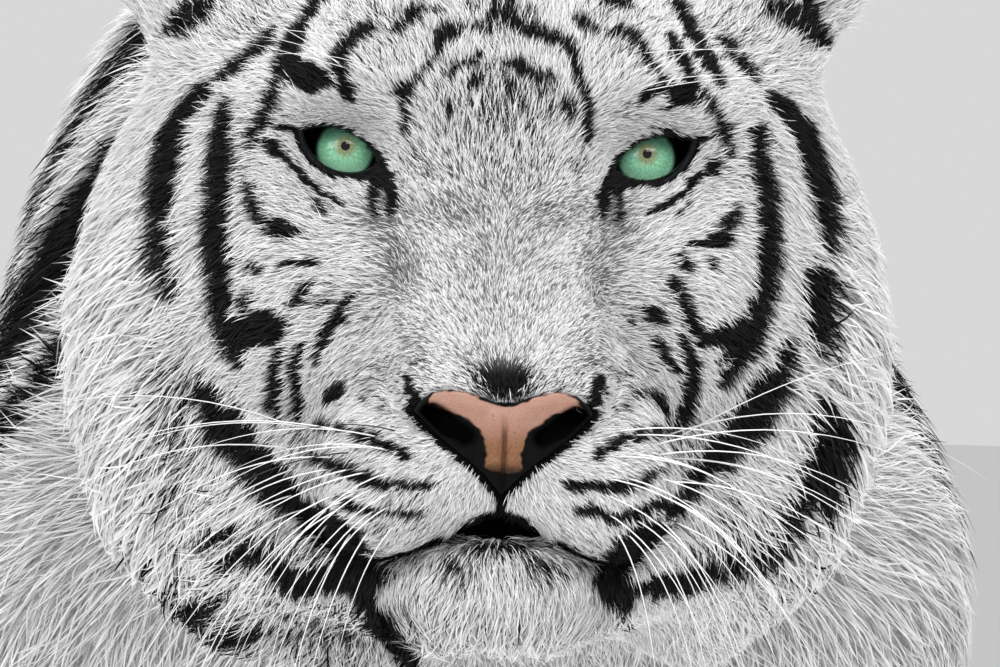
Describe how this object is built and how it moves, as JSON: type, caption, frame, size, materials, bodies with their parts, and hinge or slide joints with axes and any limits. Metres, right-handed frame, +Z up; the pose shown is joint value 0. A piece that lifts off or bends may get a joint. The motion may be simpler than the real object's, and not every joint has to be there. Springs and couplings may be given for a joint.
{
  "type": "white tiger model",
  "caption": "Still, life-size model of an adult white tiger, standing with its head held level and its tail lowered.",
  "frame": {"origin": "on the floor, under the middle of the model's box", "axes": "the tiger faces -Y, its left side is at +X and +Z is up"},
  "size_m": [0.4938, 2.4058, 0.99],
  "materials": {
    "coat": "short dense fur, white with dark stripes",
    "nose_leather": "fine-grained, slightly moist",
    "eye": "wet gloss over a pale green iris"
  },
  "bodies": {
    "root": {"head": "coat", "jaw": "coat", "nose": "nose_leather", "ear_left": "coat", "ear_right": "coat", "eye_left": "eye", "eye_right": "eye", "neck": "coat", "trunk": "coat", "foreleg_left": "coat", "forepaw_left": "coat", "thigh_left": "coat", "shank_left": "coat", "hindpaw_left": "coat", "foreleg_right": "coat", "forepaw_right": "coat", "thigh_right": "coat", "shank_right": "coat", "hindpaw_right": "coat", "tail_base": "coat", "tail_middle": "coat", "tail_tip": "coat"}
  },
  "joints": []
}
